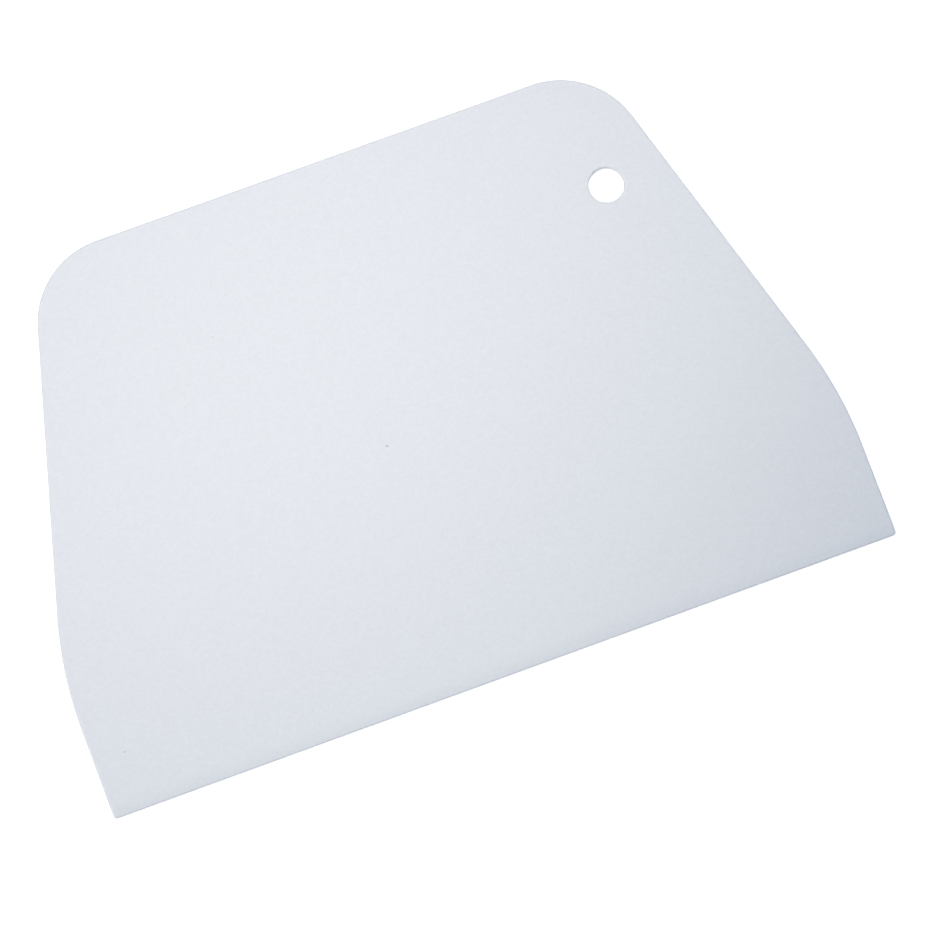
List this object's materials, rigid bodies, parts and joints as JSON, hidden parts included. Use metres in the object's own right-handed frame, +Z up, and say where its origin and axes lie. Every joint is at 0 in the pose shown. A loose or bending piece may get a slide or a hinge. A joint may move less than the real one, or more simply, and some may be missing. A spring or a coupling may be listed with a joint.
{
  "type": "bench scraper",
  "caption": "Flat flexible plastic dough and bench scraper with a tapered straight working edge, slanted sides, rounded grip corners and a hang hole.",
  "frame": {"origin": "bottom of the sheet, under the middle of its length and height", "axes": "+X along the working edge, +Y from the working edge towards the grip edge, +Z up through the thickness as the scraper lies flat; the hang hole is on the +X side"},
  "size_m": [0.15, 0.1, 0.002],
  "materials": {
    "scraper_plastic": "fine moulded matte, translucent white"
  },
  "bodies": {
    "root": {"scraper_blade": "scraper_plastic"}
  },
  "joints": []
}
